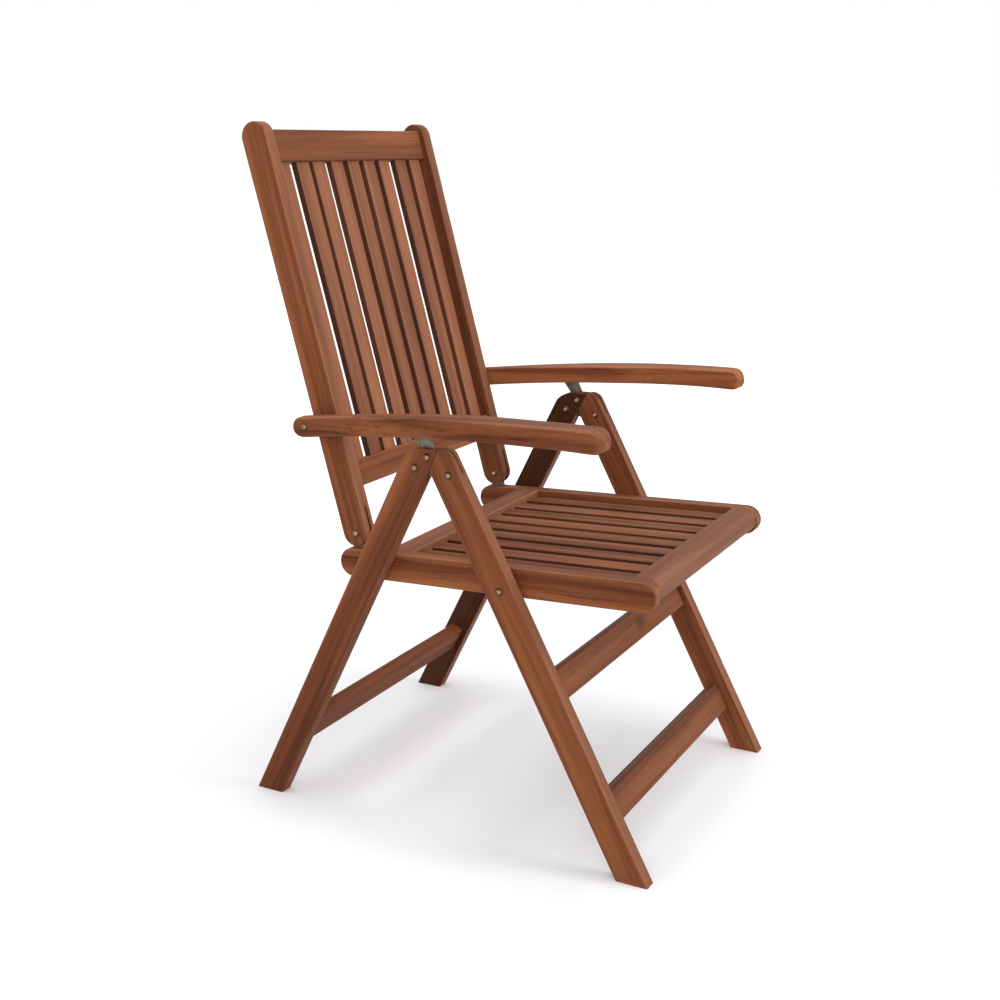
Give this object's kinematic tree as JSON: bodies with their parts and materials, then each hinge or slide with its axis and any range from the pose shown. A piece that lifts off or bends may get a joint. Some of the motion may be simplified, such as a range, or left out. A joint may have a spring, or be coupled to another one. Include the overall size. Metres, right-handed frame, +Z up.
{
  "type": "folding reclining wooden armchair",
  "caption": "High-backed slatted hardwood armchair that folds flat; its back reclines in notched steps held by racks under the arms.",
  "frame": {"origin": "middle of the bounding box on the floor, under the open chair with its back upright", "axes": "+Z up, -Y is the way the chair faces, +X is the sitter's left"},
  "size_m": [0.6168, 0.723, 1.1052],
  "materials": {
    "frame_wood": "oiled hardwood, darker boards",
    "light_wood": "oiled hardwood, lighter boards",
    "rail_wood": "oiled hardwood, crossing boards",
    "seat_slat_wood": "oiled hardwood slats",
    "back_slat_wood": "oiled hardwood slats",
    "plate_steel": "dull zinc-plated steel",
    "bolt_metal": "antiqued brass-plated fasteners"
  },
  "bodies": {
    "rear_frame": {"rear_leg_left": "frame_wood", "rear_leg_right": "frame_wood", "rear_stretcher": "rail_wood", "hinge_plate_left": "plate_steel", "hinge_plate_right": "plate_steel", "plate_bolts": "bolt_metal", "plate_nuts": "bolt_metal", "arm_pins": "plate_steel"},
    "front_frame": {"front_leg_left": "light_wood", "front_leg_right": "light_wood", "front_upper_stretcher": "rail_wood", "front_lower_stretcher": "frame_wood", "leg_pivot_bolts": "bolt_metal", "leg_pivot_nuts": "bolt_metal", "seat_pivot_bolts": "bolt_metal", "seat_pivot_nuts": "bolt_metal"},
    "seat_frame": {"seat_rail_left": "light_wood", "seat_rail_right": "light_wood", "seat_front_bar": "frame_wood", "seat_rear_bar": "rail_wood", "seat_slat_1": "seat_slat_wood", "seat_slat_2": "seat_slat_wood", "seat_slat_3": "seat_slat_wood", "seat_slat_4": "seat_slat_wood", "seat_slat_5": "seat_slat_wood", "seat_slat_6": "seat_slat_wood", "seat_slat_7": "seat_slat_wood", "seat_slat_8": "seat_slat_wood", "seat_slat_9": "seat_slat_wood", "hinge_tabs": "plate_steel", "tab_pins": "plate_steel", "guide_pins": "plate_steel", "seat_pivot_washers": "plate_steel"},
    "back_hinge": {"back_hinge_bolts": "bolt_metal", "back_hinge_nuts": "bolt_metal"},
    "back_frame": {"back_stile_left": "frame_wood", "back_stile_right": "frame_wood", "back_top_rail": "frame_wood", "back_bottom_rail": "rail_wood", "back_slat_1": "back_slat_wood", "back_slat_2": "back_slat_wood", "back_slat_3": "back_slat_wood", "back_slat_4": "back_slat_wood", "back_slat_5": "back_slat_wood", "back_slat_6": "back_slat_wood", "back_slat_7": "back_slat_wood", "back_slat_8": "back_slat_wood", "back_slat_9": "back_slat_wood", "arm_brackets": "plate_steel", "bracket_screws": "plate_steel", "arm_pivot_nuts": "bolt_metal"},
    "arm_inner_washers": {"arm_washers_inner": "plate_steel"},
    "arm_outer_washers": {"arm_washers_outer": "plate_steel"},
    "left_arm": {"arm_left": "light_wood", "arm_rack_left": "plate_steel"},
    "right_arm": {"arm_right": "light_wood", "arm_rack_right": "plate_steel"}
  },
  "joints": [
    {"name": "fold", "type": "hinge", "parent": "rear_frame", "child": "front_frame", "pos_m": [0, -0.03026, 0.5939], "axis": [1, 0, 0], "range_deg": [0, 54]},
    {"name": "seat_tilt", "type": "hinge", "parent": "front_frame", "child": "seat_frame", "pos_m": [0, -0.11476, 0.4258], "axis": [-1, 0, 0], "range_deg": [0, 100.6]},
    {"name": "back_carry", "type": "hinge", "parent": "seat_frame", "child": "back_hinge", "pos_m": [0, 0.16074, 0.472], "axis": [1, 0, 0], "range_deg": [0, 94.7]},
    {"name": "recline", "type": "hinge", "parent": "back_hinge", "child": "back_frame", "pos_m": [0, 0.16074, 0.472], "axis": [-1, 0, 0], "range_deg": [0, 30]},
    {"name": "arm_carry", "type": "hinge", "parent": "back_frame", "child": "arm_inner_washers", "pos_m": [0, 0.22884, 0.6443], "axis": [-1, 0, 0], "range_deg": [0, 112.3]},
    {"name": "arm_follow", "type": "hinge", "parent": "arm_inner_washers", "child": "arm_outer_washers", "pos_m": [0, 0.22884, 0.6443], "axis": [1, 0, 0], "range_deg": [0, 18.1]},
    {"name": "arm_lift_left", "type": "hinge", "parent": "arm_outer_washers", "child": "left_arm", "pos_m": [0, 0.22884, 0.6443], "axis": [-1, 0, 0], "range_deg": [0, 12]},
    {"name": "arm_lift_right", "type": "hinge", "parent": "arm_outer_washers", "child": "right_arm", "pos_m": [0, 0.22884, 0.6443], "axis": [-1, 0, 0], "range_deg": [0, 12]}
  ],
  "couplings": [
    {"joint": "seat_tilt", "follows": "fold", "ratio": 1.8604},
    {"joint": "back_carry", "follows": "fold", "ratio": 1.7519},
    {"joint": "arm_carry", "follows": "fold", "ratio": 2.0767},
    {"joint": "arm_follow", "follows": "recline", "ratio": 0.6}
  ]
}
